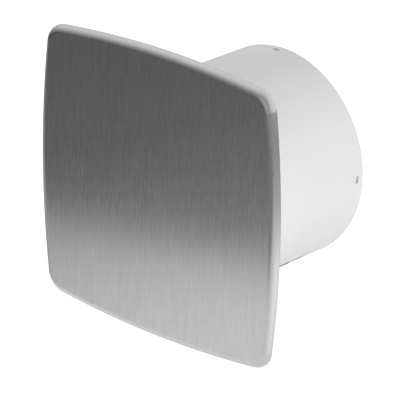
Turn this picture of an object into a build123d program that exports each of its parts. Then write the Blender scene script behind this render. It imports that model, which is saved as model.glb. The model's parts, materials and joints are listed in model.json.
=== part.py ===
from build123d import *
import math
import os

# Bathroom extractor fan: a flat brushed-steel front panel stands off a wall base, and a round duct
# housing behind it holds the motor, the axial impeller and a two-flap shutter.
#
# Millimetres.  +X is right, +Y goes back into the wall, +Z is up.  The origin is on the duct axis in
# the wall plane, which is the rear face of the base.

# ---------------------------------------------------------------- driving dimensions

# front panel
panel_width = 177.7          # across the middle of the bowed sides
panel_height = 171.4
side_bow = 5.7               # bulge of the left and right edges
top_bow = 5.3                # bulge of the top and bottom edges
panel_corner_r = 12.9
panel_lift = 2.1             # panel centre above the duct axis
panel_front = 24.0           # wall plane to panel face
rim_depth = 4.8
rim_round = 4.4
skin_wall = 0.8
skin_gap = 0.1               # skin to carrier
carrier_wall = 2.35
carrier_flange = 2.5
leg_width = 4.8
leg_slit = 1.2
leg_bump = 0.25              # swelling on each side of a leg
leg_bump_length = 1.5
leg_slit_length = 12.0
carrier_rim_setback = 0.2
carrier_rib_half = 0.8
carrier_rib_height = 2.4
carrier_rib_rise = 30.0      # cross ribs above and below the panel's middle
carrier_rib_reach = 20.0     # cross ribs past the legs

# duct housing
duct_r = 62.0
duct_wall = 2.2
duct_length = 82.0           # wall plane to rear edge
duct_collar = 0.6            # shoulder inside the base, against which the duct sleeve stops
vane_wall = 2.4
vane_count = 4
vane_bury = 0.7              # vane into the duct's wall
window_width = 4.2
window_depth = 2.2
window_inset = 5.1           # window centre to the rear edge

# base
base_depth = 10.0
base_wall = 2.0
base_side_margin = 4.0       # duct to the side of the base
base_top_margin = 9.0
base_corner_r = 14.0
throat_depth = 6.0
throat_step = 1.8            # throat inside the duct bore
throat_land = 1.5            # throat ring outside the duct
bellmouth_r = 4.0
fixing_hole_r = 2.25
fixing_boss_r = 5.0
fixing_edge = 6.0            # hole centre to the side of the base
fixing_top = 31.0            # hole centre to the top of the base
leg_rise_edge = 5.5          # clip leg centre to the top of the base
leg_offset = 26.0
socket_wall = 1.4
leg_clearance = 0.4
base_edge_round = 1.5
stiffener_half = 0.8
stiffener_length = 20.0
stiffener_setback = 3.0      # wall plane to stiffening rib
deck_overlap = 1.6           # compartment wall into the deck
snug_gap = 0.1

# screws that clamp guard, base and duct housing
duct_screw_angle = 25.0
duct_screw_r = 1.45
duct_lug_r = 3.6
duct_lug_depth = 4.0
screw_clearance = 0.1
thread_gap = 0.05            # screw to pilot hole
duct_head_r = 2.9
duct_head_depth = 1.9
duct_head_round = 0.8
cross_length = 3.2
cross_width = 0.7
cross_depth = 1.0

# guard
guard_depth = 2.0
guard_bar = 2.0
guard_rib = 1.6
guard_pitch = 12.0
guard_spokes = 8
guard_hub_r = 9.0
guard_inset = 0.2            # guard to the throat ring's edge

# impeller
impeller_front = 0.0
impeller_depth = 22.0
hub_r = 20.0
hub_wall = 2.0
hub_round = 3.0
hub_web_count = 6
hub_web_half = 0.6
hub_web_setback = 9.0        # webs to the impeller's rear
hub_boss_wall = 2.5
hub_boss_setback = 6.0
tip_gap = 1.0
blade_count = 6
blade_thickness = 2.0
blade_margin = 1.0           # blade edge inside the hub length
blade_root_pitch = 48.0
blade_middle_pitch = 36.0
blade_tip_pitch = 28.0
blade_root_fill = 0.80       # share of the reach that the section takes
blade_middle_fill = 0.82
blade_tip_fill = 0.84
blade_camber = 0.07          # share of the chord
blade_root_bury = 1.6        # first section inside the hub's surface
blade_tip_excess = 3.0       # last section past the tip, cut back to it
shaft_r = 2.5
press_gap = 0.02
run_gap = 0.05
clip_r = 5.5
clip_depth = 1.0
clip_ring_wall = 1.4
clip_slit_half = 0.4
clip_teeth = 6
shaft_front_overhang = 2.5
shaft_rear_setback = 0.4
shaft_chamfer = 0.4

# motor cup
cup_wall = 2.0
cup_clearance = 5.0          # stator to cup
cup_plate = 4.0
cup_round = 3.0
impeller_to_cup = 3.5
cup_tail = 9.0               # rear bracket to the cup's rear edge
motor_cover_wall = 2.0
cover_screw_r = 1.1
cover_screw_count = 3
cover_screw_depth = 6.0
cover_round = 1.2
cover_head_r = 2.2
cover_head_depth = 1.5
cover_head_round = 0.6
cover_slot_length = 2.8
cover_slot_depth = 0.7
slot_half = 0.3              # half width of the small screws' slots

# motor
stator_r = 27.0
yoke_width = 5.0
stack_length = 14.0
air_gap = 0.5
shoe_depth = 3.0
shoe_half_angle = 34.0
neck_width = 8.0
pole_count = 4
rotor_r = 11.0
bar_circle_r = 8.8
bar_r = 0.97
bar_count = 12
bar_gap = 0.03
cage_ring_depth = 3.0
cage_ring_in = 6.5
cage_ring_out = 10.6
bracket_wall = 2.0
bracket_foot = 6.5
bracket_arm = 10.0
foot_r = 2.6
bush_wall = 3.0
bush_length = 6.0
bearing_boss_wall = 2.5
boss_reach_in = 2.6          # bearing boss past the bracket's plate, towards the rotor
boss_reach_out = 3.6
bracket_collar = 4.0         # round middle of the bracket outside its boss
bracket_edge = 0.3           # bracket outside the stator
retainer_bore_gap = 0.9
retainer_tooth_wall = 0.9
retainer_slit_half = 0.35
retainer_teeth = 6
collar_wall = 1.9
collar_gap = 0.3
retainer_depth = 0.5
motor_screw_r = 1.5
motor_screw_head_r = 2.75
motor_screw_head_depth = 2.4
motor_head_round = 0.9
motor_slot_length = 3.6
motor_slot_half = 0.4
motor_slot_depth = 1.0
bobbin_wall = 0.8
coil_build = 3.0
coil_round = 2.4
coil_gap = 0.1               # core to bobbin, and winding to flange
wire_gap = 0.02              # winding to bobbin
shading_section = 1.4
shading_half = 3.3
shading_turn = 8.0           # degrees from the shoe's edge
shading_lift = 0.6           # ring above the shoe's face
shading_slot_from = -3.4
shading_slot_to = -1.8
shading_slot_depth = 2.1

# wiring: the terminals, the duct's channel, a vane and a motor pole share one direction
wiring_angle = -52.0
lead_r = 0.9
lead_bend = 5.4
lead_y = -7.5
channel_floor = 0.2          # channel floor outside the duct bore
channel_half = 4.3
channel_rib = 1.8
channel_side = 1.7           # rib beside the channel
channel_tail = 3.0           # rib past the channel's end
channel_end = 1.2            # channel past the leads
lead_gap = 0.3
lead_drop = 1.9              # lead behind the lamination stack

# terminal compartment
terminal_clear = 8.0         # duct to terminal block
terminal_length = 12.0
pole_pitch = 6.5
terminal_height = 12.3
terminal_lift = 0.2          # block above the floor, round its foot
terminal_foot_inset = 4.0
clamp_half = 3.0
clamp_half_width = 2.2
clamp_gap = 0.1
clamp_bore_r = 1.5
clamp_thread_r = 1.27
clamp_inset = 0.5
clamp_screw_inset = 3.0      # clamping screws inside the block's ends
clamp_screw_r = 1.2
clamp_head_r = 1.8
clamp_head_depth = 1.6
clamp_head_setback = 3.8
clamp_slot_depth = 0.8
lead_entry = 1.5             # lead into the terminal
compartment_side = 7.474     # compartment's left edge to the terminal block's nearest corner
compartment_above = 3.659    # compartment's top edge to the terminal block's nearest corner
compartment_wall = 1.6
floor_wall = 2.0
lid_height = 7.0
lid_wall = 1.5
lid_inset = 0.3
lid_screw_side = 4.7         # from the compartment's left edge
lid_screw_rise = 4.6         # from the base's bottom
lid_screw_r = 1.25
lid_screw_length = 11.5
lid_head_r = 2.5
lid_head_depth = 1.6
lid_head_round = 0.6
lid_slot_length = 3.0
lid_slot_depth = 0.7
lid_round = 1.0
lid_boss_r = 2.6
gland_side = 7.2             # from the base's right side
gland_drop = 7.1             # from the compartment's top edge
gland_bore_r = 3.5
gland_body_r = 4.4
gland_flange_r = 5.2
gland_flange_depth = 1.5

# shutter
ring_fit = 0.2               # ring to duct bore
ring_wall = 2.2
ring_depth = 8.0
ring_setback = 0.4           # ring to the duct's rear edge
lip_depth = 1.2
lip_width = 2.9
tab_width = 3.6
tab_depth = 1.8
tab_height = 1.1           # tab into the window, past the duct's bore
flap_wall = 1.2
flap_seat = 0.3
flap_edge_gap = 0.8
flap_inner = 3.0             # flap plate to the pin's centre line
pin_r = 1.2
pin_offset = 4.6             # ring front to pin axis
pin_run_gap = 0.06
knuckle_r = 2.3
knuckle_length = 10.0
knuckle_low = -0.84          # knuckles' lower ends as shares of the flap's radius
knuckle_high = 0.32
flap_rib_half = 0.8
flap_rib_height = 1.6
flap_rib_setback = 8.0
pin_boss_r = 2.6
pin_boss_length = 4.4
pin_boss_bury = 0.6
pin_stem_half = 1.2
pin_end = 0.9                # pin into the ring's wall
bar_margin = 0.6             # centre bar beside the flaps
spring_wire_r = 0.3
spring_turns = 9
spring_pitch = 0.92          # share of the wire's thickness from turn to turn
spring_gap = 0.15            # coil to knuckle bore
spring_start_gap = 0.6
spring_leg_gap = 0.05
spring_leg_from = 0.6
spring_leg_to = 16.0

# ---------------------------------------------------------------- derived places

duct_bore_r = duct_r - duct_wall
throat_r = duct_bore_r - throat_step
throat_outer_r = duct_r + throat_land
deck_front = -base_depth
tube_front = deck_front + throat_depth
base_half_w = duct_r + base_side_margin
base_half_h = duct_r + base_top_margin
fixing_x = base_half_w - fixing_edge
fixing_rise = base_half_h - fixing_top
leg_z = base_half_h - leg_rise_edge
duct_screw_circle = duct_r + duct_lug_r
socket_half = leg_width / 2 + leg_clearance

tip_r = duct_bore_r - channel_rib - tip_gap
impeller_rear = impeller_front + impeller_depth
cup_front = impeller_rear + impeller_to_cup
bracket_front = cup_front + cup_plate
stack_front = bracket_front + bracket_wall + bracket_foot
stack_rear = stack_front + stack_length
stack_middle = (stack_front + stack_rear) / 2
bracket_rear = stack_rear + bracket_foot + bracket_wall
cup_rear = bracket_rear + cup_tail
cup_inner_r = stator_r + cup_clearance
cup_outer_r = cup_inner_r + cup_wall
motor_screw_circle = stator_r - yoke_width / 2
cover_boss_r = (cup_clearance - 0.4) / 2
cover_screw_circle = cup_inner_r - cover_boss_r + 0.1
vane_front = cup_front + cup_plate + 0.5
vane_rear = cup_rear - cup_plate
arm_angle = wiring_angle + 45.0     # bracket arms stand between the motor's poles

bush_r = shaft_r + bush_wall
bearing_boss_r = bush_r + bearing_boss_wall
shoe_in = rotor_r + air_gap
shoe_out = shoe_in + shoe_depth
yoke_in = stator_r - yoke_width

coil_half_y = stack_length / 2 + coil_gap + bobbin_wall + coil_build
coil_half_v = neck_width / 2 + coil_gap + bobbin_wall + coil_build
bobbin_start = shoe_out + coil_gap
bobbin_end = math.sqrt(yoke_in ** 2 - coil_half_v ** 2) - coil_gap

channel_floor_r = duct_bore_r + channel_floor
lead_radius_in_duct = channel_floor_r + lead_r + 0.1
lead_rear_y = stack_rear + lead_r + lead_drop
terminal_in = duct_r + terminal_clear
terminal_out = terminal_in + terminal_length
terminal_floor = -floor_wall - terminal_lift
terminal_front = terminal_floor - terminal_height

wiring_u = math.cos(math.radians(wiring_angle))
wiring_v = math.sin(math.radians(wiring_angle))
compartment_left = terminal_in * wiring_u + pole_pitch * wiring_v - compartment_side
compartment_top = terminal_in * wiring_v + pole_pitch * wiring_u + compartment_above
lid_screw_x = compartment_left + lid_screw_side
lid_screw_z = lid_screw_rise - base_half_h
gland_x = base_half_w - gland_side
gland_z = compartment_top - gland_drop

ring_front = duct_length - ring_setback - ring_depth
ring_rear = duct_length - ring_setback
ring_outer_r = duct_bore_r - ring_fit
ring_inner_r = ring_outer_r - ring_wall
window_y = duct_length - window_inset
flap_front = ring_front + lip_depth + flap_seat
flap_rear = flap_front + flap_wall
flap_r = ring_inner_r - flap_edge_gap
pin_y = ring_front + pin_offset


# ---------------------------------------------------------------- helpers

ON_END = (Align.CENTER, Align.CENTER, Align.MIN)


def across(y):
    """Plane of constant y, drawn in (x, z)."""
    return Plane(origin=(0, y, 0), x_dir=(1, 0, 0), z_dir=(0, -1, 0))


def slab(face, y_from, y_to):
    """Prism of an (x, z) face between two depths."""
    return extrude(across(y_to) * face, amount=y_to - y_from)


def disc(r, y_from, y_to, x=0.0, z=0.0):
    return slab(Pos(x, z) * Circle(r), y_from, y_to)


def tube(r_out, r_in, y_from, y_to):
    return slab(Circle(r_out) - Circle(r_in), y_from, y_to)


def block(x_range, y_range, z_range):
    """Box between pairs of limits."""
    size = [b - a for a, b in (x_range, y_range, z_range)]
    corner = Align.MIN
    return Pos(x_range[0], y_range[0], z_range[0]) * Box(*size, align=(corner, corner, corner))


def around(shape, angle):
    """Turn a shape about the duct axis, from +X towards +Z."""
    return Rot(0, -angle, 0) * shape


def ring_of(shape, count, first=0.0):
    """Copies of a shape spaced evenly about the duct axis."""
    return [around(shape, first + 360.0 * i / count) for i in range(count)]


def polar(r, angle):
    return r * math.cos(math.radians(angle)), r * math.sin(math.radians(angle))


def radial_rod(r, u_from, u_to, y, v):
    """Rod along the local radial direction +X."""
    return Pos(u_from, y, v) * Rot(0, 90, 0) * Cylinder(r, u_to - u_from, align=ON_END)


def pin_rod(r, z_from, z_to):
    """Rod along Z on the shutter's pin axis."""
    return Pos(0, pin_y, z_from) * Cylinder(r, z_to - z_from, align=ON_END)


def front_edges(shape):
    return shape.edges().group_by(Axis.Y)[0]


def mirrored_to_rear(shape):
    """Mirror a motor piece about the middle of the lamination stack."""
    return mirror(shape, about=Plane(origin=(0, stack_middle, 0), z_dir=(0, 1, 0)))


def screw_axes():
    """(x, z) of the four screws that clamp guard, base and duct housing."""
    angles = [duct_screw_angle, 180 - duct_screw_angle, 180 + duct_screw_angle, -duct_screw_angle]
    return [polar(duct_screw_circle, a) for a in angles]


def leg_axes():
    return [(x, z) for x in (-leg_offset, leg_offset) for z in (-leg_z, leg_z)]


def fixing_axes():
    return [(x, z) for x in (-fixing_x, fixing_x) for z in (-fixing_rise, fixing_rise)]


# ---------------------------------------------------------------- front panel

def bow_radius(half_span, bow):
    """Radius of an arc that bulges by bow over twice half_span."""
    return (half_span ** 2 + bow ** 2) / (2 * bow)


def panel_outline(inset):
    """Rounded rectangle with four bowed sides: the overlap of four large discs, centred on the panel."""
    half_w = panel_width / 2
    half_h = panel_height / 2
    side_r = bow_radius(half_h - top_bow, side_bow)
    top_r = bow_radius(half_w - side_bow, top_bow)
    face = Pos(side_r - half_w, 0) * Circle(side_r - inset)
    face &= Pos(half_w - side_r, 0) * Circle(side_r - inset)
    face &= Pos(0, top_r - half_h) * Circle(top_r - inset)
    face &= Pos(0, half_h - top_r) * Circle(top_r - inset)
    face = fillet(face.vertices(), panel_corner_r - inset)
    return Pos(0, panel_lift) * face


def make_front_skin():
    outer = slab(panel_outline(0), -panel_front, -panel_front + rim_depth)
    outer = fillet(front_edges(outer), rim_round)
    inner = slab(panel_outline(skin_wall), -panel_front + skin_wall, -panel_front + rim_depth)
    inner = fillet(front_edges(inner), rim_round - skin_wall)
    return outer - inner


def make_clip_leg(x, z):
    """Square post with a split, slightly swollen end."""
    plate_rear = -panel_front + skin_wall + carrier_wall
    tip = -floor_wall - 0.5
    half = leg_width / 2
    bump_y = deck_front + base_wall + 0.5
    post = block((x - half, x + half), (plate_rear - 0.5, tip), (z - half, z + half))
    wide = half + leg_bump
    post += block((x - wide, x + wide), (bump_y, bump_y + leg_bump_length), (z - half, z + half))
    slit_half = leg_slit / 2
    slit = block((x - slit_half, x + slit_half), (tip - leg_slit_length, tip), (z - half - 1, z + half + 1))
    return post - slit


def make_front_carrier():
    """Moulded plate inside the skin, with a rim flange, stiffening ribs and four clip legs."""
    front = -panel_front + skin_wall + skin_gap / 2
    rear = -panel_front + skin_wall + carrier_wall
    rim_rear = -panel_front + rim_depth - carrier_rim_setback
    inset = skin_wall + skin_gap
    body = slab(panel_outline(inset), front, rim_rear)
    body = fillet(front_edges(body), rim_round - inset + 0.05)
    body -= slab(panel_outline(inset + carrier_flange), rear, rim_rear)
    rib = carrier_rib_half
    rib_rear = rear + carrier_rib_height
    for x in (-leg_offset, leg_offset):
        body += block((x - rib, x + rib), (rear - 0.5, rib_rear), (-leg_z, leg_z))
    for z in (-carrier_rib_rise, carrier_rib_rise):
        reach = leg_offset + carrier_rib_reach
        body += block((-reach, reach), (rear - 0.5, rib_rear), (z - rib, z + rib))
    for x, z in leg_axes():
        body += make_clip_leg(x, z)
    return body


# ---------------------------------------------------------------- base and guard

def base_outline(inset=0.0):
    return RectangleRounded(2 * (base_half_w - inset), 2 * (base_half_h - inset), base_corner_r - inset)


def compartment_outline():
    """Lower right corner of the base, outside the throat."""
    area = Rectangle(base_half_w, base_half_h, align=(Align.MIN, Align.MAX))
    corner = Pos(compartment_left, compartment_top) * area
    return (base_outline() & corner) - Circle(throat_outer_r)


def make_base_frame():
    body = slab(base_outline(), deck_front, 0)
    body = fillet(front_edges(body), base_edge_round)
    body -= slab(base_outline(base_wall), deck_front + base_wall, 0)
    throat = tube(throat_outer_r, throat_r, deck_front, tube_front)
    inner_edge = front_edges(throat).sort_by(SortBy.RADIUS)[0]
    body -= disc(throat_outer_r - 0.3, deck_front - 1, 1)
    body += fillet(inner_edge, bellmouth_r)

    for x, z in fixing_axes():
        body += disc(fixing_boss_r, deck_front + 0.5, 0, x, z)
    for x, z in screw_axes():
        body += disc(duct_lug_r, deck_front + 0.5, tube_front, x, z)
    socket = socket_half + socket_wall
    for x, z in leg_axes():
        body += block((x - socket, x + socket), (deck_front + 0.5, -1.0), (z - socket, z + socket))
    for angle in (45.0, 135.0, 225.0):
        rib = block((throat_outer_r - 0.5, throat_outer_r + stiffener_length),
                    (deck_front + 0.5, -stiffener_setback), (-stiffener_half, stiffener_half))
        body += around(rib, angle)

    outer = compartment_outline()
    inner = offset(outer, -compartment_wall)
    body += slab(outer, deck_front + deck_overlap, 0)
    body -= slab(inner, deck_front - 1, -floor_wall)
    boss_front = deck_front - lid_height + lid_wall + snug_gap
    body += disc(lid_boss_r, boss_front, -floor_wall + 0.5, lid_screw_x, lid_screw_z)

    for x, z in fixing_axes():
        body -= disc(fixing_hole_r, deck_front - 1, 1, x, z)
    for x, z in screw_axes():
        body -= disc(duct_screw_r + screw_clearance, deck_front - 1, 1, x, z)
    for x, z in leg_axes():
        x_range = (x - socket_half, x + socket_half)
        body -= block(x_range, (deck_front - 1, 1), (z - socket_half, z + socket_half))
    body -= disc(gland_body_r + snug_gap, -floor_wall - 1, 1, gland_x, gland_z)
    lid_hole_y = deck_front - lid_height
    lid_hole_end = lid_hole_y + lid_screw_length + 1
    body -= disc(lid_screw_r + thread_gap, lid_hole_y, lid_hole_end, lid_screw_x, lid_screw_z)
    notch = block((channel_floor_r, throat_outer_r + compartment_wall + 1),
                  (lead_y - lead_r - lead_gap - snug_gap, tube_front), (-channel_half, channel_half))
    body -= around(notch, wiring_angle)
    return body


def make_inlet_guard():
    """Flat grille over the throat, with lugs under the four clamping screws."""
    y0, y1 = deck_front - guard_depth, deck_front
    rim_r = throat_outer_r - guard_inset
    face = Circle(rim_r) - Circle(throat_r + bellmouth_r - 1.0)
    radius = guard_hub_r + guard_pitch
    while radius < throat_r:
        face += Circle(radius + guard_rib / 2) - Circle(radius - guard_rib / 2)
        radius += guard_pitch
    face += Circle(guard_hub_r)
    for i in range(guard_spokes):
        spoke = Pos((guard_hub_r + rim_r) / 2 - 0.5, 0) * Rectangle(rim_r - guard_hub_r, guard_bar)
        face += Rot(0, 0, 360.0 * (i + 0.5) / guard_spokes) * spoke
    for x, z in screw_axes():
        face += Pos(x, z) * Circle(duct_lug_r)
        face -= Pos(x, z) * Circle(duct_screw_r + screw_clearance)
    return slab(face, y0, y1)


def make_duct_screws():
    head_front = deck_front - guard_depth
    tip = tube_front + duct_lug_depth - 0.5
    arm, half = cross_length / 2, cross_width / 2
    screws = Part()
    for x, z in screw_axes():
        top = head_front - duct_head_depth
        head = disc(duct_head_r, top, head_front, x, z)
        head = fillet(front_edges(head), duct_head_round)
        cut = (top - 0.1, top - 0.1 + cross_depth)
        cross = block((x - arm, x + arm), cut, (z - half, z + half))
        cross += block((x - half, x + half), cut, (z - arm, z + arm))
        screws += head + disc(duct_screw_r, head_front, tip, x, z) - cross
    return screws


# ---------------------------------------------------------------- duct housing

def make_duct_housing():
    body = tube(duct_r, duct_bore_r, tube_front, duct_length)
    body += tube(duct_r + duct_collar, duct_bore_r, tube_front, 0)
    for x, z in screw_axes():
        angle = math.degrees(math.atan2(z, x))
        lug = disc(duct_lug_r, tube_front, tube_front + duct_lug_depth, duct_screw_circle, 0)
        lug += block((duct_r - 1, duct_screw_circle), (tube_front, tube_front + duct_lug_depth),
                     (-duct_lug_r, duct_lug_r))
        lug -= disc(duct_screw_r + thread_gap, tube_front, tube_front + duct_lug_depth, duct_screw_circle, 0)
        body += around(lug, angle)

    cup = disc(cup_outer_r, cup_front, cup_rear)
    cup = fillet(front_edges(cup), cup_round)
    cup -= disc(cup_inner_r, cup_front + cup_plate, cup_rear)
    vane = block((cup_outer_r - 1, duct_bore_r + vane_bury), (vane_front, vane_rear),
                 (-vane_wall / 2, vane_wall / 2))
    body += cup
    for item in ring_of(vane, vane_count, wiring_angle):
        body += item

    boss = disc(cover_boss_r, cup_rear - cover_screw_depth - 0.5, cup_rear, cover_screw_circle, 0)
    pilot = disc(cover_screw_r + thread_gap, cup_rear - cover_screw_depth, cup_rear + 1, cover_screw_circle, 0)
    for item in ring_of(boss, cover_screw_count):
        body += item
    for item in ring_of(pilot, cover_screw_count):
        body -= item

    body -= disc(bearing_boss_r + snug_gap, cup_front - 1, bracket_front + 1)
    pilot = disc(motor_screw_r + thread_gap, cup_front + 0.5, bracket_front + 1, motor_screw_circle, 0)
    for item in ring_of(pilot, pole_count, arm_angle):
        body -= item

    channel_rear = lead_rear_y + lead_r + channel_end
    rib = tube(duct_bore_r + 0.5, duct_bore_r - channel_rib, tube_front, channel_rear + channel_tail)
    rib_half = channel_half + channel_side
    rib &= block((0, duct_r), (tube_front, channel_rear + channel_tail), (-rib_half, rib_half))
    body += around(rib, wiring_angle)
    cuts = tube(duct_r + 1, channel_floor_r, tube_front - 1, channel_rear)
    cuts &= block((0, duct_r + 2), (tube_front - 1, channel_rear), (-channel_half, channel_half))
    cuts += block((duct_bore_r - channel_rib - 1, duct_r), (lead_rear_y - lead_bend - 2, channel_rear),
                  (-channel_half, channel_half))
    for v in (-pole_pitch / 2, pole_pitch / 2):
        cuts += radial_rod(lead_r + lead_gap, cup_inner_r - 1.5, cup_outer_r + 0.5, lead_rear_y, v)
    body -= around(cuts, wiring_angle)

    window = block((duct_bore_r - 1, duct_r + 1), (window_y - window_depth / 2, window_y + window_depth / 2),
                   (-window_width / 2, window_width / 2))
    for item in ring_of(window, 4):
        body -= item
    return body


# ---------------------------------------------------------------- impeller and shaft

def blade_section(radius, chord, pitch, camber):
    """Curved plate section at a radius, its chord pitched from the plane of rotation."""
    half = chord / 2
    t = blade_thickness / 2
    edges = [
        ThreePointArc((-half, t), (0, camber + t), (half, t)),
        Line((half, t), (half, -t)),
        ThreePointArc((half, -t), (0, camber - t), (-half, -t)),
        Line((-half, -t), (-half, t)),
    ]
    lean = math.radians(pitch)
    middle = (impeller_front + impeller_rear) / 2
    plane = Plane(origin=(radius, middle, 0), x_dir=(0, math.sin(lean), math.cos(lean)), z_dir=(1, 0, 0))
    return plane * make_face(edges)


def make_impeller():
    hub = disc(hub_r, impeller_front, impeller_rear)
    hub = fillet(front_edges(hub), hub_round)
    hub -= disc(hub_r - hub_wall, impeller_front + hub_wall + 0.5, impeller_rear)
    hub += disc(shaft_r + hub_boss_wall, impeller_front + hub_wall, impeller_rear - hub_boss_setback)
    web = block((shaft_r + hub_boss_wall - 0.5, hub_r - hub_wall / 2),
                (impeller_front + hub_wall, impeller_rear - hub_web_setback), (-hub_web_half, hub_web_half))
    for item in ring_of(web, hub_web_count):
        hub += item

    reach = impeller_depth - 2 * blade_margin
    stations = (
        (hub_r - blade_root_bury, blade_root_pitch, blade_root_fill),
        ((hub_r + tip_r) / 2, blade_middle_pitch, blade_middle_fill),
        (tip_r + blade_tip_excess, blade_tip_pitch, blade_tip_fill),
    )
    sections = []
    for radius, pitch, fill in stations:
        chord = reach * fill / math.sin(math.radians(pitch))
        sections.append(blade_section(radius, chord, pitch, chord * blade_camber))
    blade = loft(sections)
    blade &= disc(tip_r, impeller_front, impeller_rear)
    for item in ring_of(blade, blade_count):
        hub += item
    return hub - disc(shaft_r + press_gap, impeller_front - 1, impeller_rear)


def make_impeller_clip():
    ring = tube(clip_r, shaft_r + press_gap, impeller_front - clip_depth, impeller_front)
    slit = block((shaft_r, clip_r - clip_ring_wall), (impeller_front - clip_depth, impeller_front),
                 (-clip_slit_half, clip_slit_half))
    for item in ring_of(slit, clip_teeth):
        ring -= item
    return ring


def make_motor_shaft():
    rear = bracket_rear + bush_length - bracket_wall - shaft_rear_setback
    shaft = disc(shaft_r, impeller_front - shaft_front_overhang, rear)
    return chamfer(front_edges(shaft), shaft_chamfer)


# ---------------------------------------------------------------- motor

def make_rotor_core():
    core = tube(rotor_r, shaft_r + press_gap, stack_front, stack_rear)
    slot = disc(bar_r + bar_gap, stack_front, stack_rear, bar_circle_r, 0)
    for item in ring_of(slot, bar_count):
        core -= item
    return core


def make_rotor_cage():
    """Two end rings joined by the bars through the rotor's slots."""
    cage = tube(cage_ring_out, cage_ring_in, stack_front - cage_ring_depth, stack_front)
    cage += tube(cage_ring_out, cage_ring_in, stack_rear, stack_rear + cage_ring_depth)
    bar = disc(bar_r, stack_front - 1, stack_rear + 1, bar_circle_r, 0)
    for item in ring_of(bar, bar_count):
        cage += item
    return cage


def boss_rear():
    """Inner end of the front bearing boss."""
    return bracket_front + bracket_wall + boss_reach_in


def make_thrust_collars():
    collar = tube(shaft_r + collar_wall, shaft_r + press_gap, boss_rear() + collar_gap, stack_front)
    return collar + mirrored_to_rear(collar)


def make_stator_core():
    core = tube(stator_r, yoke_in, stack_front, stack_rear)
    reach = 2 * stator_r
    wedge = Polygon((0, 0), polar(reach, -shoe_half_angle), polar(reach, shoe_half_angle), align=None)
    shoe = slab((Circle(shoe_out) - Circle(shoe_in)) & wedge, stack_front, stack_rear)
    neck_v = (-neck_width / 2, neck_width / 2)
    pole = shoe + block((shoe_out - 1, yoke_in + 1), (stack_front, stack_rear), neck_v)
    slot = block((shoe_in - 1, shoe_in + shading_slot_depth), (stack_front, stack_rear),
                 (shading_slot_from, shading_slot_to))
    pole -= around(slot, shoe_half_angle - shading_turn)
    for item in ring_of(pole, pole_count, wiring_angle):
        core += item
    hole = disc(motor_screw_r + screw_clearance, stack_front, stack_rear, motor_screw_circle, 0)
    for item in ring_of(hole, pole_count, arm_angle):
        core -= item
    return core


def make_shading_rings():
    """One copper loop round the trailing third of each pole shoe."""
    u0 = shoe_in + shading_lift
    u_range = (u0, u0 + shading_section)
    leg = shading_half
    reach = coil_gap + shading_section
    loop = block(u_range, (stack_front - reach, stack_rear + reach), (-leg, leg))
    inner = leg - shading_section
    loop -= block((0, stator_r), (stack_front - coil_gap, stack_rear + coil_gap), (-inner, inner))
    loop = around(loop, shoe_half_angle - shading_turn)
    return Part() + ring_of(loop, pole_count, wiring_angle)


def coil_frame(half_y, half_v, u_from, u_to):
    return block((u_from, u_to), (stack_middle - half_y, stack_middle + half_y), (-half_v, half_v))


def make_coil_bobbins():
    hole_y = stack_length / 2 + coil_gap
    hole_v = neck_width / 2 + coil_gap
    bobbin = coil_frame(hole_y + bobbin_wall, hole_v + bobbin_wall, bobbin_start, bobbin_end)
    for u in (bobbin_start, bobbin_end - bobbin_wall):
        bobbin += coil_frame(coil_half_y + coil_gap, coil_half_v, u, u + bobbin_wall)
    bobbin -= coil_frame(hole_y, hole_v, bobbin_start - 1, bobbin_end + 1)
    return Part() + ring_of(bobbin, pole_count, wiring_angle)


def make_coil_windings():
    inner_y = stack_length / 2 + coil_gap + wire_gap + bobbin_wall
    inner_v = neck_width / 2 + coil_gap + wire_gap + bobbin_wall
    u_from = bobbin_start + bobbin_wall + wire_gap
    u_to = bobbin_end - bobbin_wall - wire_gap
    coil = coil_frame(coil_half_y - coil_gap, coil_half_v - coil_gap, u_from, u_to)
    coil = fillet(coil.edges().filter_by(Axis.X), coil_round)
    coil -= coil_frame(inner_y, inner_v, u_from - 1, u_to + 1)
    return Part() + ring_of(coil, pole_count, wiring_angle)


def make_front_bracket():
    """Spider that carries a bearing boss and stands on the stack by four feet."""
    reach = stator_r + bracket_edge
    face = Rectangle(2 * reach, bracket_arm) + Rectangle(bracket_arm, 2 * reach)
    face += Circle(bearing_boss_r + bracket_collar)
    body = slab(face & Circle(reach), bracket_front, bracket_front + bracket_wall)
    foot = disc(foot_r, bracket_front + 0.5, stack_front, motor_screw_circle, 0)
    for item in ring_of(foot, pole_count):
        body += item
    body += disc(bearing_boss_r, bracket_front - boss_reach_out, boss_rear())
    body -= disc(bush_r + press_gap, bracket_front - boss_reach_out - 1, boss_rear() + 1)
    hole = disc(motor_screw_r + screw_clearance, bracket_front - 1, stack_front + 1, motor_screw_circle, 0)
    for item in ring_of(hole, pole_count):
        body -= item
    return around(body, arm_angle)


def make_front_bush():
    rear = boss_rear() - retainer_depth
    return tube(bush_r, shaft_r + run_gap, rear - bush_length, rear)


def make_front_retainer():
    rear = boss_rear()
    ring = tube(bush_r, shaft_r + retainer_bore_gap, rear - retainer_depth, rear)
    slit = block((shaft_r, bush_r - retainer_tooth_wall), (rear - retainer_depth, rear),
                 (-retainer_slit_half, retainer_slit_half))
    for item in ring_of(slit, retainer_teeth):
        ring -= item
    return ring


def make_bush_retainers():
    ring = make_front_retainer()
    return ring + mirrored_to_rear(ring)


def make_motor_screws():
    head_rear = bracket_rear + motor_screw_head_depth
    head = disc(motor_screw_head_r, bracket_rear, head_rear, motor_screw_circle, 0)
    head = fillet(head.edges().group_by(Axis.Y)[-1], motor_head_round)
    slot_u = (motor_screw_circle - motor_slot_length / 2, motor_screw_circle + motor_slot_length / 2)
    head -= block(slot_u, (head_rear - motor_slot_depth, head_rear + 1), (-motor_slot_half, motor_slot_half))
    screw = head + disc(motor_screw_r, cup_front + 0.6, bracket_rear, motor_screw_circle, 0)
    return Part() + ring_of(screw, pole_count, arm_angle)


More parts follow.
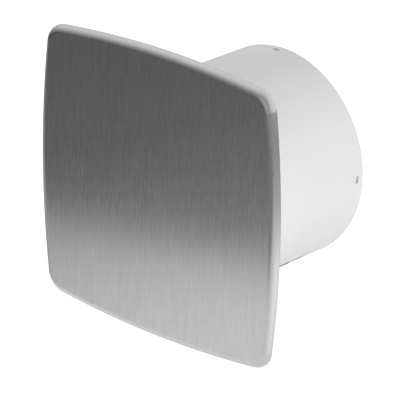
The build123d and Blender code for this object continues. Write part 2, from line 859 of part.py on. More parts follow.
def make_motor_cover():
    cover = disc(cup_outer_r, cup_rear, cup_rear + motor_cover_wall)
    cover = fillet(cover.edges().group_by(Axis.Y)[-1], cover_round)
    hole_rear = cup_rear + motor_cover_wall + 1
    hole = disc(cover_screw_r + screw_clearance, cup_rear - 1, hole_rear, cover_screw_circle, 0)
    for item in ring_of(hole, cover_screw_count):
        cover -= item
    return cover


def make_cover_screws():
    seat = cup_rear + motor_cover_wall
    top = seat + cover_head_depth
    head = disc(cover_head_r, seat, top, cover_screw_circle, 0)
    head = fillet(head.edges().group_by(Axis.Y)[-1], cover_head_round)
    slot_u = (cover_screw_circle - cover_slot_length / 2, cover_screw_circle + cover_slot_length / 2)
    head -= block(slot_u, (top - cover_slot_depth, top + 1), (-slot_half, slot_half))
    screw = head + disc(cover_screw_r, cup_rear - cover_screw_depth + 0.5, seat, cover_screw_circle, 0)
    return Part() + ring_of(screw, cover_screw_count)


# ---------------------------------------------------------------- terminals and wiring

def pole_lines():
    return (-pole_pitch / 2, pole_pitch / 2)


def clamp_screw_places():
    """Radial places of the two clamping screws on each pole."""
    return (terminal_in + clamp_screw_inset, terminal_out - clamp_screw_inset)


def make_terminal_block():
    half = pole_pitch
    body = block((terminal_in, terminal_out), (terminal_front, terminal_floor), (-half, half))
    body = fillet(body.edges().group_by(Axis.Y)[0].filter_by(Axis.X), 1.0)
    for v in pole_lines():
        room = clamp_half + clamp_gap
        room_v = clamp_half_width + clamp_gap
        through = (terminal_in - 1, terminal_out + 1)
        body -= block(through, (lead_y - room, lead_y + room), (v - room_v, v + room_v))
        for u in clamp_screw_places():
            body -= disc(clamp_head_r + clamp_gap, terminal_front - 1, lead_y - clamp_half, u, v)
    foot = (terminal_in + terminal_foot_inset, terminal_out - terminal_foot_inset)
    body += block(foot, (terminal_floor - 0.5, -floor_wall), (-half, half))
    return around(body, wiring_angle)


def make_terminal_clamps():
    clamps = Part()
    for v in pole_lines():
        clamp = block((terminal_in + clamp_inset, terminal_out - clamp_inset),
                      (lead_y - clamp_half, lead_y + clamp_half), (v - clamp_half_width, v + clamp_half_width))
        clamp -= radial_rod(clamp_bore_r, terminal_in, terminal_out, lead_y, v)
        for u in clamp_screw_places():
            clamp -= disc(clamp_thread_r, lead_y - clamp_half - 1, lead_y, u, v)
        clamps += clamp
    return around(clamps, wiring_angle)


def make_terminal_screws():
    screws = Part()
    head_rear = lead_y - clamp_head_setback
    for v in pole_lines():
        for u in clamp_screw_places():
            top = head_rear - clamp_head_depth
            head = disc(clamp_head_r, top, head_rear, u, v)
            head -= block((u - 2, u + 2), (top - 1, top + clamp_slot_depth), (v - slot_half, v + slot_half))
            screws += head + disc(clamp_screw_r, head_rear, lead_y - lead_r - lead_gap / 2, u, v)
    return around(screws, wiring_angle)


def make_terminal_lid():
    outline = offset(compartment_outline(), -lid_inset)
    front = deck_front - lid_height
    body = slab(outline, front, deck_front)
    body = fillet(front_edges(body), lid_round)
    body -= slab(offset(outline, -lid_wall), front + lid_wall, deck_front)
    body -= disc(lid_screw_r + screw_clearance, front - 1, front + lid_wall + 1, lid_screw_x, lid_screw_z)
    return body


def make_lid_screw():
    seat = deck_front - lid_height
    top = seat - lid_head_depth
    head = disc(lid_head_r, top, seat, lid_screw_x, lid_screw_z)
    head = fillet(front_edges(head), lid_head_round)
    slot_x = (lid_screw_x - lid_slot_length / 2, lid_screw_x + lid_slot_length / 2)
    head -= block(slot_x, (top - 1, top + lid_slot_depth), (lid_screw_z - slot_half, lid_screw_z + slot_half))
    return head + disc(lid_screw_r, seat, seat + lid_screw_length, lid_screw_x, lid_screw_z)


def make_cable_grommet():
    body = disc(gland_body_r, -floor_wall, 0, gland_x, gland_z)
    body += disc(gland_flange_r, -floor_wall - gland_flange_depth, -floor_wall, gland_x, gland_z)
    body = fillet(front_edges(body), 0.5)
    return body - disc(gland_bore_r, -floor_wall - 3, 1, gland_x, gland_z)


def make_lead(v):
    """Insulated lead from a terminal, along the duct's channel and across to the coil beside a vane."""
    start = terminal_in + lead_entry
    points = [
        (start, lead_y, v),
        (lead_radius_in_duct, lead_y, v),
        (lead_radius_in_duct, lead_rear_y, v),
        (bobbin_end, lead_rear_y, v),
    ]
    path = FilletPolyline(*points, radius=lead_bend)
    section = Plane(origin=points[0], z_dir=path % 0) * Circle(lead_r)
    return around(sweep(section, path=path), wiring_angle)


# ---------------------------------------------------------------- shutter

def make_damper_ring():
    """Snap-in ring with a front lip, a centre bar and two bosses for the pin."""
    body = tube(ring_outer_r, ring_inner_r, ring_front, ring_rear)
    body += tube(ring_inner_r + 0.5, ring_inner_r - lip_width, ring_front, ring_front + lip_depth)
    bar_half = flap_inner + bar_margin
    body += block((-bar_half, bar_half), (ring_front, ring_front + lip_depth), (-ring_inner_r, ring_inner_r))
    boss_from = ring_inner_r - pin_boss_length
    for side in (-1, 1):
        z_range = sorted((side * boss_from, side * (ring_inner_r + pin_boss_bury)))
        body += pin_rod(pin_boss_r, *z_range)
        body += block((-pin_stem_half, pin_stem_half), (ring_front + 0.5, pin_y), z_range)
    body &= disc(ring_outer_r, ring_front, ring_rear)
    body -= pin_rod(pin_r + press_gap, -ring_inner_r - 1.0, ring_inner_r + 1.0)
    tab = block((ring_outer_r - 0.5, ring_outer_r + ring_fit + tab_height),
                (window_y - tab_depth / 2, window_y + tab_depth / 2), (-tab_width / 2, tab_width / 2))
    for item in ring_of(tab, 4):
        body += item
    return body


def make_damper_pin():
    return pin_rod(pin_r, -ring_inner_r - pin_end, ring_inner_r + pin_end)


def right_knuckle_places():
    """Lower ends of the right flap's knuckles; the left flap's are mirrored in z."""
    return (knuckle_low * flap_r, knuckle_high * flap_r)


def make_right_flap():
    """Half-moon flap with a stiffening rib and two knuckles on the pin."""
    side = Rectangle(flap_r, 2 * flap_r, align=(Align.MIN, Align.CENTER))
    half = Circle(flap_r) & (Pos(flap_inner, 0) * side)
    body = slab(half, flap_front, flap_rear)
    body += block((flap_inner + 1, flap_r - flap_rib_setback), (flap_rear - 0.3, flap_rear + flap_rib_height),
                  (-flap_rib_half, flap_rib_half))
    for z in right_knuckle_places():
        body += pin_rod(knuckle_r, z, z + knuckle_length)
        body += block((0, flap_inner + 1), (flap_front, pin_y), (z, z + knuckle_length))
    return body - pin_rod(pin_r + pin_run_gap, -flap_r, flap_r)


def make_right_spring():
    """Close-wound torsion spring on the pin, with the leg that presses on the flap."""
    pitch = 2 * spring_wire_r * spring_pitch
    mean_r = pin_r + pin_run_gap + spring_gap + spring_wire_r
    z_start = right_knuckle_places()[0] + knuckle_length + spring_start_gap
    wire = Sketch()
    for i in range(spring_turns):
        wire += Pos(mean_r, z_start + spring_wire_r + i * pitch) * Circle(spring_wire_r)
    coil = Pos(0, pin_y, 0) * revolve(Plane.XZ * wire, Axis.Z)
    leg_y = flap_rear + spring_wire_r + spring_leg_gap
    z_leg = z_start + spring_wire_r + (spring_turns - 1) * pitch
    return coil + radial_rod(spring_wire_r, spring_leg_from, spring_leg_to, leg_y, z_leg)


def turned_to_left(shape):
    """Half turn about the y axis through the duct centre, which swaps the two flaps."""
    return Rot(0, 180, 0) * shape


# ---------------------------------------------------------------- all pieces

def make_parts():
    front_bracket = make_front_bracket()
    front_bush = make_front_bush()
    right_flap = make_right_flap()
    right_spring = make_right_spring()
    lead_live, lead_neutral = [make_lead(v) for v in pole_lines()]
    return {
        "front_skin": make_front_skin(),
        "front_carrier": make_front_carrier(),
        "base_frame": make_base_frame(),
        "inlet_guard": make_inlet_guard(),
        "duct_screws": make_duct_screws(),
        "duct_housing": make_duct_housing(),
        "impeller": make_impeller(),
        "impeller_clip": make_impeller_clip(),
        "motor_shaft": make_motor_shaft(),
        "rotor_core": make_rotor_core(),
        "rotor_cage": make_rotor_cage(),
        "thrust_collars": make_thrust_collars(),
        "stator_core": make_stator_core(),
        "coil_bobbins": make_coil_bobbins(),
        "coil_windings": make_coil_windings(),
        "shading_rings": make_shading_rings(),
        "front_bracket": front_bracket,
        "rear_bracket": mirrored_to_rear(front_bracket),
        "front_bush": front_bush,
        "rear_bush": mirrored_to_rear(front_bush),
        "bush_retainers": make_bush_retainers(),
        "motor_screws": make_motor_screws(),
        "motor_cover": make_motor_cover(),
        "cover_screws": make_cover_screws(),
        "terminal_block": make_terminal_block(),
        "terminal_clamps": make_terminal_clamps(),
        "terminal_screws": make_terminal_screws(),
        "terminal_lid": make_terminal_lid(),
        "lid_screw": make_lid_screw(),
        "cable_grommet": make_cable_grommet(),
        "lead_live": lead_live,
        "lead_neutral": lead_neutral,
        "damper_ring": make_damper_ring(),
        "damper_pin": make_damper_pin(),
        "flap_right": right_flap,
        "flap_left": turned_to_left(right_flap),
        "flap_spring_right": right_spring,
        "flap_spring_left": turned_to_left(right_spring),
    }


def main():
    os.makedirs("parts", exist_ok=True)
    for name, shape in make_parts().items():
        export_step(shape, f"parts/{name}.step")
    print("lead bend radius", lead_bend, "mm")


main()
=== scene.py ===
import json
import math

import bmesh
import bpy
from mathutils import Matrix, Vector


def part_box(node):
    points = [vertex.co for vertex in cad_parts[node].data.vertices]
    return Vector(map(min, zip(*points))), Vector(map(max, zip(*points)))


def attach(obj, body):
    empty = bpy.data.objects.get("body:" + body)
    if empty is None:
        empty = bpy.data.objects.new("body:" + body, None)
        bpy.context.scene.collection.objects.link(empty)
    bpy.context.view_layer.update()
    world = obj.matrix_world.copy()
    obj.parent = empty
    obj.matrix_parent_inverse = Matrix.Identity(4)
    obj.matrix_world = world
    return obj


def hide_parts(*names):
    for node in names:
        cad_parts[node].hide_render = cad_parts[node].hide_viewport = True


# Looks of the bathroom extractor fan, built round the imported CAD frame.  Metres, +Y into the wall.

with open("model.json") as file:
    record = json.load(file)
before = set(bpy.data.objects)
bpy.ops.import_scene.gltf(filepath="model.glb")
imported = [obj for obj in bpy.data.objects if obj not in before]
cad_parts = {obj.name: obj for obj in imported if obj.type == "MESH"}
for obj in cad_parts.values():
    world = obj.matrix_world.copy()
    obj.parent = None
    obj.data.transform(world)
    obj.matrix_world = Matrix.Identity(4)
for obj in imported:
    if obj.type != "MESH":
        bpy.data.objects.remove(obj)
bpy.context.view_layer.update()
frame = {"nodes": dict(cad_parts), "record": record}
MM = 0.001


# ------------------------------------------------------------------ camera

VIEW_AZIMUTH = math.radians(42.08)
VIEW_ELEVATION = math.radians(22.40)
VIEW_ROLL = math.radians(0.70)
VIEW_DISTANCE = 1.8138        # from the panel's middle
FOCAL_LENGTH = 295.9          # mm on a 36 mm wide sensor
AIM_RIGHT = 0.02556           # view centre to the right of the panel's middle
AIM_DOWN = 0.00207


def view_axes():
    """Right, up and backward directions of the camera."""
    ca, sa = math.cos(VIEW_AZIMUTH), math.sin(VIEW_AZIMUTH)
    ce, se = math.cos(VIEW_ELEVATION), math.sin(VIEW_ELEVATION)
    back = Vector((sa * ce, -ca * ce, se))
    right = Vector((ca, sa, 0.0))
    up = back.cross(right)
    turn = Matrix.Rotation(VIEW_ROLL, 3, back)
    return turn @ right, turn @ up, back


def panel_middle():
    """Centre of the panel's face."""
    low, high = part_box("front_skin")
    return Vector(((low.x + high.x) / 2, low.y, (low.z + high.z) / 2))


def make_camera():
    right, up, back = view_axes()
    data = bpy.data.cameras.new("camera")
    data.sensor_width = 36.0
    data.lens = FOCAL_LENGTH
    data.clip_end = 50.0
    camera = bpy.data.objects.new("camera", data)
    bpy.context.scene.collection.objects.link(camera)
    place = panel_middle() + back * VIEW_DISTANCE + right * AIM_RIGHT - up * AIM_DOWN
    turn = Matrix((right, up, back)).transposed().to_4x4()
    camera.matrix_world = Matrix.Translation(place) @ turn
    bpy.context.scene.camera = camera


# ------------------------------------------------------------------ node helpers

class Nodes:
    """Short calls for building one material's node tree."""

    def __init__(self, tree):
        self.tree = tree

    def add(self, kind, **values):
        node = self.tree.nodes.new(kind)
        for name, value in values.items():
            if hasattr(node, name):
                setattr(node, name, value)
            else:
                self.put(node, name, value)
        return node

    def put(self, node, name, value):
        """Set a socket, or link it when value is another socket."""
        socket = node.inputs[name]
        if isinstance(value, bpy.types.NodeSocket):
            self.tree.links.new(value, socket)
        else:
            socket.default_value = value

    def math(self, operation, a, b=0.0):
        node = self.add("ShaderNodeMath", operation=operation)
        self.put(node, 0, a)
        self.put(node, 1, b)
        return node.outputs[0]

    def scaled(self, coordinate, scale):
        node = self.add("ShaderNodeMapping")
        self.put(node, "Vector", coordinate)
        node.inputs["Scale"].default_value = scale
        return node.outputs["Vector"]

    def noise(self, vector, scale, detail=4.0, rough=0.5):
        node = self.add("ShaderNodeTexNoise")
        self.put(node, "Vector", vector)
        self.put(node, "Scale", scale)
        self.put(node, "Detail", detail)
        self.put(node, "Roughness", rough)
        return node.outputs["Fac"]

    def spread(self, value, low, high, start=0.3, end=0.7):
        """Map a noise value from its usual range onto low..high."""
        node = self.add("ShaderNodeMapRange")
        self.put(node, "Value", value)
        self.put(node, "From Min", start)
        self.put(node, "From Max", end)
        self.put(node, "To Min", low)
        self.put(node, "To Max", high)
        return node.outputs["Result"]

    def shade(self, fac, dark, light):
        """Colour between two colours."""
        node = self.add("ShaderNodeMix", data_type="RGBA")
        self.put(node, "Factor", fac)
        node.inputs[6].default_value = (*dark, 1.0)
        node.inputs[7].default_value = (*light, 1.0)
        return node.outputs[2]

    def bump(self, height, strength, distance, normal=None):
        node = self.add("ShaderNodeBump")
        self.put(node, "Height", height)
        self.put(node, "Strength", strength)
        self.put(node, "Distance", distance)
        if normal is not None:
            self.put(node, "Normal", normal)
        return node.outputs["Normal"]


def cleared_nodes(owner):
    """Empty node tree of a world or material, with the calls that fill it."""
    owner.use_nodes = True
    owner.node_tree.nodes.clear()
    return Nodes(owner.node_tree)


def new_material(name):
    """Material with one shader, its node calls and the object coordinates."""
    material = bpy.data.materials.new(name)
    n = cleared_nodes(material)
    shader = n.add("ShaderNodeBsdfPrincipled")
    n.tree.links.new(shader.outputs[0], n.add("ShaderNodeOutputMaterial").inputs["Surface"])
    place = n.add("ShaderNodeTexCoord").outputs["Object"]
    return material, n, shader, place


def even(value):
    """The same value three times, as a colour or a scale."""
    return (value, value, value)


def near(colour, factor):
    """A colour a little darker or lighter."""
    return tuple(min(1.0, c * factor) for c in colour)


# ------------------------------------------------------------------ materials

# brushed sheet
FINE_GRAIN = (2200.0, 60.0, 150.0)    # lines to the metre along X, Y and Z
STREAK_GRAIN = (700.0, 20.0, 45.0)
FINE_SHARE = 0.6              # weight of the fine lines against the streaks
TONE_RANGE = (-0.2, 0.2)      # grain values that give the two tones
STEEL_DARK = 0.555
STEEL_LIGHT = 0.695
STEEL_ROUGH = (0.11, 0.17)
CLOUD_ROUGH = 0.015
GRAIN_SPREAD = 0.9            # reflections spread across the grain
ROLLED_NORMAL = (-0.998, -0.80)       # the normal's Y from the flat face to the rolled edge
ROLLED_ROUGH = 0.16           # extra roughness there
ROLLED_CALM = 0.7             # share of the grain's contrast lost there


def brushed_steel():
    """Stainless sheet with fine vertical grain."""
    material, n, shader, place = new_material("brushed_steel")
    fine = n.noise(n.scaled(place, FINE_GRAIN), 1.0, 3.0, 0.6)
    streak = n.noise(n.scaled(place, STREAK_GRAIN), 1.0, 3.0, 0.6)
    cloud = n.noise(place, 16.0, 3.0)
    facing = n.add("ShaderNodeSeparateXYZ")
    n.put(facing, 0, n.add("ShaderNodeNewGeometry").outputs["Normal"])
    rolled = n.spread(facing.outputs[1], 0.0, 1.0, *ROLLED_NORMAL)
    both = n.math("ADD", n.math("MULTIPLY", fine, FINE_SHARE), n.math("MULTIPLY", streak, 1 - FINE_SHARE))
    contrast = n.math("SUBTRACT", 1.0, n.math("MULTIPLY", rolled, ROLLED_CALM))
    calm = n.math("MULTIPLY", n.math("SUBTRACT", both, 0.5), contrast)
    tone = n.spread(calm, 0.0, 1.0, *TONE_RANGE)
    n.put(shader, "Base Color", n.shade(tone, even(STEEL_DARK), even(STEEL_LIGHT)))
    shader.inputs["Metallic"].default_value = 1.0
    rough = n.math("ADD", n.spread(fine, *STEEL_ROUGH), n.spread(cloud, -CLOUD_ROUGH, CLOUD_ROUGH))
    n.put(shader, "Roughness", n.math("ADD", rough, n.math("MULTIPLY", rolled, ROLLED_ROUGH)))
    shader.inputs["Anisotropic"].default_value = GRAIN_SPREAD
    tangent = n.add("ShaderNodeTangent", direction_type="UV_MAP", uv_map="grain")
    n.put(shader, "Tangent", tangent.outputs[0])
    normal = n.bump(fine, 0.10, 0.00006)
    normal = n.bump(streak, 0.06, 0.00010, normal)
    n.put(shader, "Normal", normal)
    return material


def moulded(name, colour, rough=0.42, texture=0.05, grain=2600.0, soft_edge=0.0002):
    """Injection-moulded plastic: a fine spark texture, faint flow clouds and softened edges."""
    material, n, shader, place = new_material(name)
    grain_noise = n.noise(place, grain, 3.0, 0.6)
    cloud = n.noise(place, 22.0, 4.0)
    n.put(shader, "Base Color", n.shade(n.spread(cloud, 0.0, 1.0), near(colour, 0.975), near(colour, 1.01)))
    flow = n.noise(n.scaled(place, (60.0, 12.0, 60.0)), 1.0, 3.0)
    n.put(shader, "Roughness", n.math("ADD", n.spread(grain_noise, rough - 0.04, rough + 0.04),
                                      n.spread(flow, -0.03, 0.03)))
    shader.inputs["Specular IOR Level"].default_value = 0.45
    edge = n.add("ShaderNodeBevel", samples=4)
    edge.inputs["Radius"].default_value = soft_edge
    n.put(shader, "Normal", n.bump(grain_noise, texture, 0.00008, edge.outputs[0]))
    return material


def plain_metal(name, colour, rough=0.25, scratch=(900.0, 30.0, 900.0), strength=0.08):
    """Machined or plated metal with directional scratches and slight stains."""
    material, n, shader, place = new_material(name)
    lines = n.noise(n.scaled(place, scratch), 1.0, 4.0, 0.6)
    stain = n.noise(place, 120.0, 3.0)
    n.put(shader, "Base Color", n.shade(n.spread(stain, 0.0, 1.0), near(colour, 0.86), near(colour, 1.05)))
    shader.inputs["Metallic"].default_value = 1.0
    n.put(shader, "Roughness", n.spread(lines, rough * 0.75, rough * 1.3))
    n.put(shader, "Normal", n.bump(lines, strength, 0.00005))
    return material


def striped_metal(name, colour, pitch, radial=False, rough=0.4, strength=0.5):
    """Metal in fine layers: laminations along the axis, or turns of wire counted outward from it."""
    material, n, shader, place = new_material(name)
    split = n.add("ShaderNodeSeparateXYZ")
    n.put(split, 0, place)
    x, y, z = split.outputs
    along = y
    if radial:
        along = n.math("SQRT", n.math("ADD", n.math("MULTIPLY", x, x), n.math("MULTIPLY", z, z)))
    wave = n.math("SINE", n.math("MULTIPLY", along, 2 * math.pi / pitch))
    stain = n.noise(place, 240.0, 3.0)
    n.put(shader, "Base Color", n.shade(n.spread(stain, 0.0, 1.0), near(colour, 0.8), near(colour, 1.08)))
    shader.inputs["Metallic"].default_value = 1.0
    n.put(shader, "Roughness", n.spread(wave, rough, rough + 0.15, -1.0, 1.0))
    n.put(shader, "Normal", n.bump(wave, strength, pitch / 8))
    return material


def soft_rubber(name, colour, rough=0.6):
    """Rubber or soft insulation with fine pores."""
    material, n, shader, place = new_material(name)
    pores = n.noise(place, 1800.0, 4.0, 0.6)
    n.put(shader, "Base Color", n.shade(n.spread(pores, 0.0, 1.0), near(colour, 0.8), near(colour, 1.3)))
    n.put(shader, "Roughness", n.spread(pores, rough - 0.08, rough + 0.08))
    n.put(shader, "Normal", n.bump(pores, 0.12, 0.00008))
    return material


def cad_materials():
    """Material of each record slot."""
    return {
        "white_abs": moulded("white_abs", (0.86, 0.86, 0.855)),
        "impeller_plastic": moulded("impeller_plastic", (0.78, 0.78, 0.77), 0.36),
        "flap_plastic": moulded("flap_plastic", (0.80, 0.80, 0.79), 0.38),
        "bobbin_plastic": moulded("bobbin_plastic", (0.70, 0.66, 0.55), 0.45),
        "terminal_plastic": moulded("terminal_plastic", (0.78, 0.76, 0.68), 0.40),
        "fibre": moulded("fibre", (0.42, 0.26, 0.12), 0.6, 0.2, 900.0),
        "zinc_steel": plain_metal("zinc_steel", (0.70, 0.71, 0.70), 0.28),
        "spring_steel": plain_metal("spring_steel", (0.50, 0.50, 0.51), 0.22),
        "ground_steel": plain_metal("ground_steel", (0.62, 0.62, 0.63), 0.15, (60.0, 2400.0, 60.0)),
        "cast_aluminium": plain_metal("cast_aluminium", (0.68, 0.69, 0.70), 0.45, even(500.0), 0.25),
        "sintered_bronze": plain_metal("sintered_bronze", (0.50, 0.31, 0.14), 0.5, even(1500.0), 0.3),
        "terminal_brass": plain_metal("terminal_brass", (0.72, 0.55, 0.24), 0.28),
        "bare_copper": plain_metal("bare_copper", (0.78, 0.36, 0.20), 0.3),
        "laminated_steel": striped_metal("laminated_steel", (0.28, 0.28, 0.30), 0.0005),
        "enamelled_copper": striped_metal("enamelled_copper", (0.52, 0.17, 0.06), 0.0004, True, 0.25, 0.9),
        "black_rubber": soft_rubber("black_rubber", (0.02, 0.02, 0.02)),
        "brown_insulation": soft_rubber("brown_insulation", (0.13, 0.045, 0.018), 0.35),
        "blue_insulation": soft_rubber("blue_insulation", (0.01, 0.05, 0.30), 0.35),
    }


def paint_cad_nodes(steel):
    """Give every CAD node the material of its slot."""
    library = cad_materials()
    library["brushed_steel_skin"] = steel
    for sub in frame["record"]["subparts"]:
        node = frame["nodes"][sub["node"]]
        node.data.materials.clear()
        node.data.materials.append(library[sub["material_slot"]])


# ------------------------------------------------------------------ meshes

def new_object(name, bm, material):
    """Scene object from a finished bmesh, in one material."""
    mesh = bpy.data.meshes.new(name)
    bm.to_mesh(mesh)
    bm.free()
    mesh.materials.append(material)
    made = bpy.data.objects.new(name, mesh)
    bpy.context.scene.collection.objects.link(made)
    return made


# ------------------------------------------------------------------ front skin

SIDE_BOW = 5.7 * MM
TOP_BOW = 5.3 * MM
CORNER_R = 12.9 * MM
RIM_ROUND = 4.4 * MM
SHEET = 0.8 * MM
HEM_BEVEL = 0.15 * MM
BOW_STEPS = 40
CORNER_STEPS = 24
ROUND_STEPS = 10
UV_SCALE = 5.0                # UV units to the metre


def arc_points(centre, radius, start, end, steps):
    """Points on an arc, without its last one."""
    points = []
    for i in range(steps):
        a = start + (end - start) * i / steps
        points.append((centre[0] + radius * math.cos(a), centre[1] + radius * math.sin(a)))
    return points


def panel_loop(half_w, half_h, inset):
    """Closed outline of the panel, moved inward by inset: four bows and four round corners."""
    side_r = ((half_h - TOP_BOW) ** 2 + SIDE_BOW ** 2) / (2 * SIDE_BOW)
    top_r = ((half_w - SIDE_BOW) ** 2 + TOP_BOW ** 2) / (2 * TOP_BOW)
    side_c = Vector((half_w - side_r, 0.0))
    top_c = Vector((0.0, half_h - top_r))
    reach_side, reach_top = side_r - CORNER_R, top_r - CORNER_R
    gap = top_c - side_c
    along = (reach_side ** 2 - reach_top ** 2 + gap.length_squared) / (2 * gap.length)
    across = math.sqrt(reach_side ** 2 - along ** 2)
    unit = gap.normalized()
    corner = side_c + unit * along + Vector((-unit.y, unit.x)) * across
    a_side = math.atan2(corner.y - side_c.y, corner.x - side_c.x)
    a_top = math.atan2(corner.y - top_c.y, corner.x - top_c.x)
    right = arc_points(side_c, side_r - inset, -a_side, a_side, BOW_STEPS)
    turn = arc_points(corner, CORNER_R - inset, a_side, a_top, CORNER_STEPS)
    top = arc_points(top_c, top_r - inset, a_top, math.pi - a_top, BOW_STEPS)
    left_turn = [(-x, y) for x, y in reversed(turn[1:])]
    end = arc_points(corner, CORNER_R - inset, a_top, a_top, 1)[0]
    half = right + turn + top + [(-end[0], end[1])] + left_turn
    return half + [(-x, -y) for x, y in half]


def rim_profile(depth):
    """(inset, depth from the face) from the inner face round the rim to the outer face."""
    inner_r = RIM_ROUND - SHEET
    profile = []
    for i in range(ROUND_STEPS + 1):
        a = math.pi / 2 * i / ROUND_STEPS
        profile.append((SHEET + inner_r * (1 - math.sin(a)), SHEET + inner_r * (1 - math.cos(a))))
    profile.append((SHEET, depth - HEM_BEVEL))
    profile.append((SHEET - HEM_BEVEL, depth))
    profile.append((HEM_BEVEL, depth))
    profile.append((0.0, depth - HEM_BEVEL))
    for i in range(ROUND_STEPS + 1):
        a = math.pi / 2 * i / ROUND_STEPS
        profile.append((RIM_ROUND * (1 - math.cos(a)), RIM_ROUND * (1 - math.sin(a))))
    return profile


def make_front_skin(steel):
    """Sheet-metal cover: flat face, rolled edge and a thin hem, with a UV map of the sheet unrolled."""
    low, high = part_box("front_skin")
    half_w, half_h = (high.x - low.x) / 2, (high.z - low.z) / 2
    middle = (high.z + low.z) / 2
    outline, inner = panel_loop(half_w, half_h, 0.0), panel_loop(half_w, half_h, MM)
    outward = [((x - u) / MM, (z - v) / MM) for (x, z), (u, v) in zip(outline, inner)]
    bm = bmesh.new()
    rings = []
    unrolled = {}
    for inset, depth in rim_profile(high.y - low.y):
        ring = []
        for (x, z), (nx, nz) in zip(panel_loop(half_w, half_h, inset), outward):
            vert = bm.verts.new((x, low.y + depth, middle + z))
            unrolled[vert] = (x + nx * depth, z + nz * depth)
            ring.append(vert)
        rings.append(ring)
    for a, b in zip(rings, rings[1:]):
        for i in range(len(a)):
            j = (i + 1) % len(a)
            bm.faces.new((a[i], a[j], b[j], b[i]))
    bm.faces.new(rings[-1])
    bm.faces.new(list(reversed(rings[0])))
    bmesh.ops.recalc_face_normals(bm, faces=bm.faces)
    grain = bm.loops.layers.uv.new("grain")
    for face in bm.faces:
        face.smooth = len(face.verts) == 4
        for loop in face.loops:
            u, v = unrolled[loop.vert]
            loop[grain].uv = (u * UV_SCALE, v * UV_SCALE)
    piece = new_object("front_panel_skin", bm, steel)
    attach(piece, "front_cover_body")
    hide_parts("front_skin")


# ------------------------------------------------------------------ studio

# lamps
KEY_PLACE = (1.45, -0.1, 0.05)
KEY_POWER = 15.0
FILL_PLACE = (-0.9, 1.6, 0.35)
FILL_POWER = 12.0
LAMP_SIZE = 0.9
LAMP_AIM = (0.0, 0.02, 0.0)

# world light: a soft sky, brighter to the left, with a darker room low in front
WORLD_LEFT = 1.30
WORLD_RIGHT = 0.05
HORIZON = 0.22                # share of the light low in front
FRONT_DARK = 0.3              # how much the front stays darker than the rear
SKY_RAMP = (-0.05, 0.90)      # heights between which the light rises to its full share
FRONT_GLOW = 0.40             # soft light straight in front
FRONT_GLOW_RAMP = (-1.0, -0.80)
BACKDROP_TURN = 0.6           # weight of the rear against the right in the white backdrop's place
BACKDROP_RAMP = (-0.1, 0.5)

# floor, in metres from the duct axis
FLOOR_DROP = 0.50             # below the duct axis
FLOOR_HALF = 6.0
FLOOR_GREY = 0.45
FLOOR_LIFT = 0.76             # light added to the floor's own where the camera sees it
# painted reflection: the POOL and GLOW numbers below shape a bright area with a soft edge, and glows in
# front and to the right, which the floor shows to glossy rays only
POOL_EDGE = (-0.775, -0.842)  # a point on the edge of the bright area that the steel reflects
POOL_NORMAL = (0.285, 0.959)  # towards the bright side
POOL_SOFT = 0.075
POOL_DARK = 0.37              # share left past the edge
POOL_NEAR = 0.80
POOL_FAR = 0.38
POOL_RANGE = (0.5, 2.6)       # distances of those two levels
POOL_SIDE = (0.7, 1.2)        # levels at the left and right of the panel's reflection
POOL_SIDE_RANGE = (-0.95, -0.59)
POOL_DIP = 0.12               # less light right of that
POOL_DIP_RANGE = (-0.5, -0.1)
FAR_GLOW = 0.40               # painted reflection: light that only reflections see on the far floor in front
FAR_GLOW_DEPTH = (-2.6, -1.6)
FAR_GLOW_SIDE = (-2.4, -1.2)
RIGHT_GLOW = 0.68             # painted reflection on the floor to the right, too
RIGHT_GLOW_SIDE = (0.45, 1.0)
RIGHT_GLOW_RANGE = (1.0, 1.45)
RIGHT_GLOW_FAR = -0.1


def mix_shaders(n, share, without, full):
    """Closure between two closures."""
    mix = n.add("ShaderNodeMixShader")
    n.put(mix, 0, share)
    n.tree.links.new(without, mix.inputs[1])
    n.tree.links.new(full, mix.inputs[2])
    return mix.outputs[0]


def ray_mix(n, rays, seen, other):
    """One closure for the named kinds of ray, another for all the rest."""
    path = n.add("ShaderNodeLightPath")
    share = path.outputs[rays[0]]
    for ray in rays[1:]:
        share = n.math("MAXIMUM", share, path.outputs[ray])
    return mix_shaders(n, share, other, seen)


def white_light(n, kind, strength):
    """White closure of an emission or background node."""
    return n.add(kind, Color=(*even(1.0), 1.0), Strength=strength).outputs[0]


def make_world():
    """Studio light: white where it is seen, and a plain soft level on the object."""
    world = bpy.data.worlds.new("studio")
    bpy.context.scene.world = world
    n = cleared_nodes(world)
    split = n.add("ShaderNodeSeparateXYZ")
    n.put(split, 0, n.add("ShaderNodeTexCoord").outputs["Generated"])
    x, y, z = split.outputs
    side = n.spread(x, WORLD_LEFT, WORLD_RIGHT, -1.0, 1.0)
    height = n.math("ADD", z, n.math("MULTIPLY", y, FRONT_DARK))
    level = n.math("MULTIPLY", side, n.spread(height, HORIZON, 1.0, *SKY_RAMP))
    level = n.math("ADD", level, n.spread(y, FRONT_GLOW, 0.0, *FRONT_GLOW_RAMP))
    light = white_light(n, "ShaderNodeBackground", level)
    white = white_light(n, "ShaderNodeBackground", 1.0)
    away = n.math("ADD", x, n.math("MULTIPLY", y, BACKDROP_TURN))
    behind = mix_shaders(n, n.spread(away, 0.0, 1.0, *BACKDROP_RAMP), light, white)
    plain = ray_mix(n, ["Is Glossy Ray"], behind, light)
    seen = ray_mix(n, ["Is Camera Ray", "Is Transmission Ray"], white, plain)
    n.tree.links.new(seen, n.add("ShaderNodeOutputWorld").inputs["Surface"])


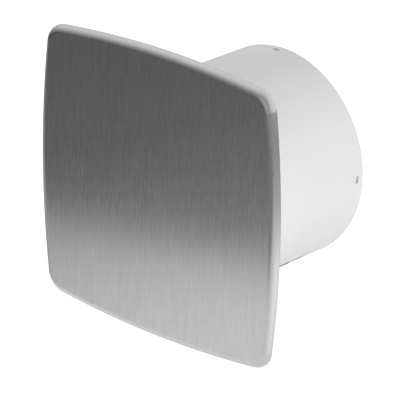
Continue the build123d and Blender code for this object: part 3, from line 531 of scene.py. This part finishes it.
def painted_reflection_level(n, position):
    """Painted reflection: brightness that only glossy rays see on the floor, by the place on it."""
    split = n.add("ShaderNodeSeparateXYZ")
    n.put(split, 0, position)
    x, y = split.outputs[0], split.outputs[1]
    side = n.math("ADD", n.math("MULTIPLY", n.math("SUBTRACT", x, POOL_EDGE[0]), POOL_NORMAL[0]),
                  n.math("MULTIPLY", n.math("SUBTRACT", y, POOL_EDGE[1]), POOL_NORMAL[1]))
    far = n.math("SQRT", n.math("ADD", n.math("MULTIPLY", x, x), n.math("MULTIPLY", y, y)))
    share = n.spread(side, POOL_DARK, 1.0, -POOL_SOFT / 2, POOL_SOFT / 2)
    bright = n.spread(far, POOL_NEAR, POOL_FAR, *POOL_RANGE)
    slope = n.math("SUBTRACT", n.spread(x, *POOL_SIDE, *POOL_SIDE_RANGE),
                   n.spread(x, 0.0, POOL_DIP, *POOL_DIP_RANGE))
    base = n.math("MULTIPLY", n.math("MULTIPLY", share, bright), slope)
    front = n.math("MULTIPLY", n.spread(y, FAR_GLOW, 0.0, *FAR_GLOW_DEPTH),
                   n.spread(x, 0.0, 1.0, *FAR_GLOW_SIDE))
    right = n.math("MULTIPLY", n.spread(x, 0.0, RIGHT_GLOW, *RIGHT_GLOW_SIDE),
                   n.spread(far, 1.0, RIGHT_GLOW_FAR, *RIGHT_GLOW_RANGE))
    return n.math("ADD", base, n.math("ADD", front, right))


def floor_material():
    """Pale floor: seen white but for its shadows, open from below, with a painted bright area that only
    reflections see.
    """
    material = bpy.data.materials.new("studio_floor")
    n = cleared_nodes(material)
    place = n.add("ShaderNodeNewGeometry")
    # painted reflection: emission on the floor that only glossy rays see
    painted_reflection = white_light(n, "ShaderNodeEmission", painted_reflection_level(n, place.outputs["Position"]))
    diffuse = n.add("ShaderNodeBsdfDiffuse", Color=(*even(FLOOR_GREY), 1.0)).outputs[0]
    lifted = n.add("ShaderNodeAddShader")
    n.tree.links.new(diffuse, lifted.inputs[0])
    n.tree.links.new(white_light(n, "ShaderNodeEmission", FLOOR_LIFT), lifted.inputs[1])
    plain = ray_mix(n, ["Is Glossy Ray"], painted_reflection, diffuse)
    seen = ray_mix(n, ["Is Camera Ray", "Is Transmission Ray"], lifted.outputs[0], plain)
    below = n.add("ShaderNodeBsdfTransparent").outputs[0]
    surface = mix_shaders(n, place.outputs["Backfacing"], seen, below)
    n.tree.links.new(surface, n.add("ShaderNodeOutputMaterial").inputs["Surface"])
    return material


def make_floor():
    bm = bmesh.new()
    bmesh.ops.create_grid(bm, x_segments=8, y_segments=8, size=FLOOR_HALF)
    floor = new_object("studio_floor", bm, floor_material())
    floor.location.z = -FLOOR_DROP


def make_lamp(name, place, power):
    """Square soft lamp aimed at the object."""
    data = bpy.data.lights.new(name, "AREA")
    data.shape = "SQUARE"
    data.size = LAMP_SIZE
    data.energy = power
    lamp = bpy.data.objects.new(name, data)
    lamp.location = place
    lamp.visible_glossy = False
    lamp.rotation_euler = (Vector(LAMP_AIM) - Vector(place)).to_track_quat("-Z", "Y").to_euler()
    bpy.context.scene.collection.objects.link(lamp)


# ------------------------------------------------------------------ build

bpy.context.scene.view_settings.view_transform = "Standard"
make_camera()
make_world()
make_floor()
make_lamp("key", KEY_PLACE, KEY_POWER)
make_lamp("rear_fill", FILL_PLACE, FILL_POWER)
skin_steel = brushed_steel()
paint_cad_nodes(skin_steel)
make_front_skin(skin_steel)
